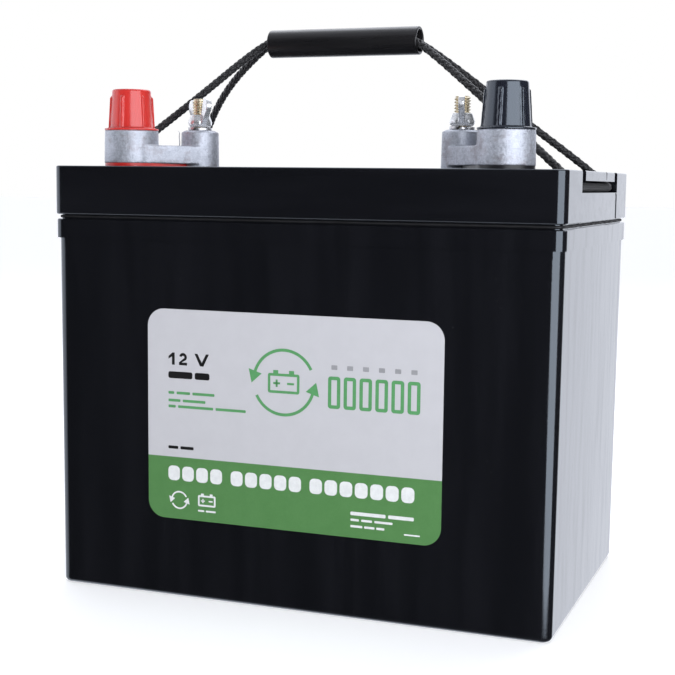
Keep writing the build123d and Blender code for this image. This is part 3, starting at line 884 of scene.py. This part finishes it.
def words(left, middle, height, lengths, gap=1.3):
    """A row of bars in place of words."""
    bars = []
    for length in lengths:
        bars.append(bar(left, middle - height / 2, left + length, middle + height / 2, height * 0.3))
        left += length + gap
    return bars


def printed(name, shapes, material):
    """Ink shapes standing a hair proud of the label film."""
    made = bmesh.new()
    for shape in shapes:
        low = [made.verts.new(on_label(*p, -INK_PROUD)) for p in shape]
        top = [made.verts.new(on_label(*p, INK_PROUD)) for p in shape]
        made.faces.new(top)
        made.faces.new(list(reversed(low)))
        for i in range(len(shape)):
            following = (i + 1) % len(shape)
            made.faces.new((low[i], low[following], top[following], top[i]))
    bmesh.ops.recalc_face_normals(made, faces=made.faces)
    bmesh.ops.triangulate(made, faces=[f for f in made.faces if len(f.verts) > 4])
    mesh = bpy.data.meshes.new(name)
    made.to_mesh(mesh)
    made.free()
    mesh.materials.append(material)
    piece = add_object(name, mesh)
    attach(piece, "battery")


def figures():
    """12 V in plain strokes, six millimetres high."""
    low, high = 24.9, 31.0
    one = [
        (-64.9, 29.1),
        (-62.7, high),
        (-61.5, high),
        (-61.5, low),
        (-63.0, low),
        (-63.0, 29.0),
        (-64.9, 27.8),
    ]
    two_top = band_between(arc(-56.9, 28.9, 2.1, 170, -40, 10), arc(-56.9, 28.9, 0.75, 170, -40, 10))
    two_slope = [(-55.3, 27.6), (-56.4, 28.4), (-59.1, 26.3), (-59.1, low), (-57.9, 26.1)]
    two_foot = [(-59.1, low), (-54.7, low), (-54.7, 26.25), (-59.1, 26.25)]
    vee_left = [(-50.6, high), (-49.0, high), (-46.7, 26.6), (-46.7, low), (-47.6, low)]
    vee_right = [(-44.4, high), (-42.8, high), (-45.8, low), (-46.7, low), (-46.7, 26.6)]
    return [one, *two_top, two_slope, two_foot, vee_left, vee_right]


def cycle_ring(across, up, radius, stroke, gap=26.0):
    """Two arrows chasing each other round a ring."""
    shapes = []
    for start in (gap, 180 + gap):
        end = start + 180 - gap - 18
        shapes += band_between(
            arc(across, up, radius, start, end, 28), arc(across, up, radius - stroke, start, end, 28)
        )
        a = math.radians(end)
        turn = Vector((-math.sin(a), math.cos(a)))
        out = Vector((math.cos(a), math.sin(a)))
        root = Vector((across, up)) + out * (radius - stroke / 2)
        reach = max(2.2 * stroke, radius * 0.22)
        shapes.append(
            [tuple(root + out * reach), tuple(root + turn * reach * 1.7), tuple(root - out * reach)]
        )
    return shapes


def battery_mark(left, low, wide, high, stroke):
    """Outline of a battery with two posts, a plus and a minus."""
    shapes = frame_of(left, low, left + wide, low + high, stroke * 0.8, stroke)
    post = wide * 0.16
    for middle in (left + wide * 0.25, left + wide * 0.75):
        shapes.append(bar(middle - post / 2, low + high, middle + post / 2, low + high * 1.16, 0.1))
    sign, level = wide * 0.11, low + high * 0.5
    plus, minus = left + wide * 0.28, left + wide * 0.72
    for middle in (plus, minus):
        shapes.append(bar(middle - sign, level - stroke * 0.4, middle + sign, level + stroke * 0.4, 0.1))
    shapes.append(bar(plus - stroke * 0.4, level - sign, plus + stroke * 0.4, level + sign, 0.1))
    return shapes


CELL_MARKS = [19.6 + 7.9 * i for i in range(6)]
TITLE = ((-65.2, 4), (-31.0, 5), (10.6, 7))  # start and number of blocks of each word
printed(
    "label_black_print",
    figures() + words(-65.0, 19.9, 3.4, (13.2, 8.0)) + words(-65.1, -16.4, 1.5, (5.4, 7.2)),
    black_ink,
)
printed(
    "label_green_print",
    words(-65.0, 11.0, 1.35, (3.2, 7.4, 12.0))
    + words(-65.0, 7.2, 1.35, (6.6, 12.4))
    + words(-65.0, 4.2, 1.35, (4.0, 19.2, 16.2))
    + cycle_ring(-3.2, 19.7, 16.4, 1.5)
    + battery_mark(-11.4, 14.4, 16.4, 9.6, 1.3)
    + [part for x in CELL_MARKS for part in frame_of(x, 8.8, x + 6.2, 24.2, 1.4, 1.7)],
    green_ink,
)
printed(
    "label_grey_print",
    [bar(x + 1.6, 27.4, x + 4.6, 29.6, 0.3) for x in CELL_MARKS],
    grey_ink,
)
printed(
    "label_white_print",
    [block for start, count in TITLE for block in words(start, -29.4, 7.4, (6.4,) * count, gap=1.3)]
    + cycle_ring(-59.1, -42.9, 4.6, 0.8)
    + battery_mark(-48.8, -45.0, 9.6, 5.6, 0.9)
    + words(-48.8, -47.3, 0.9, (3.4, 5.4), gap=0.9)
    + words(31.6, -40.7, 1.7, (17.6, 12.6))
    + words(31.7, -43.8, 1.1, (4.2, 5.4, 9.0), gap=1.2)
    + words(31.7, -46.9, 1.1, (6.0, 5.2, 4.0), gap=0.9)
    + words(58.4, -48.4, 0.7, (7.8,)),
    white_ink,
)


# ---------------------------------------------------------------- stage
def pale_floor():
    s = Shader("pale_floor")
    tone = s.noise(3.0, 3.0, 0.5)
    colour = s.mix(s.spread(tone, 0.3, 0.7), (0.84, 0.84, 0.84), (0.87, 0.87, 0.87))
    s.bsdf.inputs["Emission Color"].default_value = (1, 1, 1, 1)
    s.bsdf.inputs["Emission Strength"].default_value = 0.42
    material = s.finish(colour, s.spread(tone, 0.3, 0.7, 0.75, 0.85))
    reach = 14.0
    corners = [(-reach, -reach, 0), (reach, -reach, 0), (reach, reach, 0), (-reach, reach, 0)]
    floor = mesh_piece("floor", corners, [(0, 1, 2, 3)], material, smooth=False)
    floor.visible_glossy = False  # the glossy case mirrors the studio, not the floor


LAMP_COLOUR = (0.95, 0.98, 1.05)


def softbox(name, place, aim, wide, high, radiance):
    data = bpy.data.lights.new(name, "AREA")
    data.shape = "RECTANGLE"
    data.size, data.size_y = wide, high
    data.energy = radiance * math.pi * wide * high
    data.color = LAMP_COLOUR
    lamp = bpy.data.objects.new(name, data)
    scene.collection.objects.link(lamp)
    lamp.location = place
    lamp.rotation_euler = (Vector(aim) - Vector(place)).to_track_quat("-Z", "Y").to_euler()
    lamp.visible_camera = False


def studio_world():
    """White seen directly. Mirrored: bright walls left and behind, a dark front, a soft ceiling."""
    world = bpy.data.worlds.new("studio")
    scene.world = world
    world.use_nodes = True
    tree = world.node_tree
    tree.nodes.clear()
    link = tree.links.new

    def calc(operation, *values):
        made = tree.nodes.new("ShaderNodeMath")
        made.operation = operation
        for socket, value in zip(made.inputs, values):
            if isinstance(value, bpy.types.NodeSocket):
                link(value, socket)
            else:
                socket.default_value = value
        return made.outputs[0]

    def ramp(value, low, high):
        made = tree.nodes.new("ShaderNodeMapRange")
        made.interpolation_type = "SMOOTHSTEP"
        made.inputs["From Min"].default_value = low
        made.inputs["From Max"].default_value = high
        link(value, made.inputs["Value"])
        return made.outputs["Result"]

    axes = tree.nodes.new("ShaderNodeSeparateXYZ")
    link(tree.nodes.new("ShaderNodeTexCoord").outputs["Generated"], axes.inputs[0])
    x, y, z = axes.outputs
    # the way round from -Y through +X, 0 to 1
    around = calc("FRACT", calc("DIVIDE", calc("ARCTAN2", x, calc("MULTIPLY", y, -1.0)), TURN))
    walls = calc("MULTIPLY", ramp(around, 150 / 360, 160 / 360), ramp(around, 314 / 360, 298 / 360))
    walls = calc("MULTIPLY", walls, calc("SUBTRACT", 1.0, calc("MULTIPLY", ramp(z, 0.25, 0.7), 0.65)))
    ceiling = calc("MULTIPLY", ramp(z, 0.45, 0.8), 0.5)
    below = calc("MULTIPLY", ramp(z, -0.4, -0.7), 0.11)
    level = calc("ADD", calc("MULTIPLY", walls, 1.42), calc("ADD", ceiling, calc("ADD", below, 0.038)))
    room = tree.nodes.new("ShaderNodeBackground")
    room.inputs["Color"].default_value = (0.94, 0.97, 1.06, 1)
    link(level, room.inputs["Strength"])
    seen = tree.nodes.new("ShaderNodeBackground")
    seen.inputs["Color"].default_value = (1, 1, 1, 1)
    chosen = tree.nodes.new("ShaderNodeMixShader")
    link(tree.nodes.new("ShaderNodeLightPath").outputs["Is Camera Ray"], chosen.inputs[0])
    link(room.outputs[0], chosen.inputs[1])
    link(seen.outputs[0], chosen.inputs[2])
    link(chosen.outputs[0], tree.nodes.new("ShaderNodeOutputWorld").inputs["Surface"])


pale_floor()
softbox("front_right_softbox", (0.820, -0.73, 0.22), (0.05, 0.0, 0.12), 1.30, 1.1, 3.9)
softbox("overhead_softbox", (0.0, 0.75, 1.25), (0.0, 0.0, 0.10), 1.5, 1.0, 2.0)
studio_world()
scene.view_settings.view_transform = "Standard"
